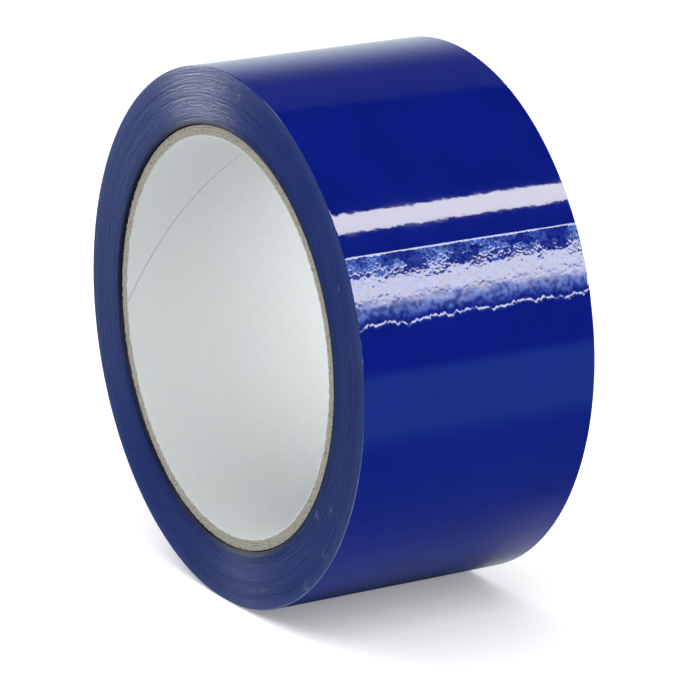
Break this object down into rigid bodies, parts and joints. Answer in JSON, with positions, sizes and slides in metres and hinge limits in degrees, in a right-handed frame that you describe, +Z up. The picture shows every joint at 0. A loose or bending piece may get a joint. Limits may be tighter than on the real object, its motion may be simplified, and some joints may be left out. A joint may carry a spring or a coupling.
{
  "type": "roll of carton-sealing tape",
  "caption": "Roll of glossy blue carton-sealing tape on a white-lined paperboard core, with a free end that peels up from the tread.",
  "frame": {"origin": "on the floor, under the middle of the roll as it stands on its tread", "axes": "+Z up; the roll's axis runs along Y through (0, 0, 0.0517); the front side face looks along -Y; the free end lies on the +X side of the tread"},
  "size_m": [0.1034, 0.0494, 0.1034],
  "materials": {
    "tape_film": "gloss",
    "liner_paper": "matte",
    "core_board": "matte"
  },
  "bodies": {
    "roll": {"core_inner_liner": "liner_paper", "core_board_ply_1": "core_board", "core_board_ply_2": "core_board", "core_board_ply_3": "core_board", "core_board_ply_4": "core_board", "tape_winding": "tape_film"},
    "free_end": {"tape_free_end": "tape_film"}
  },
  "joints": [
    {"name": "free_end_peel", "type": "hinge", "parent": "roll", "child": "free_end", "pos_m": [0.0498, 0, 0.0656], "axis": [0, 1, 0], "range_deg": [0, 170]}
  ]
}
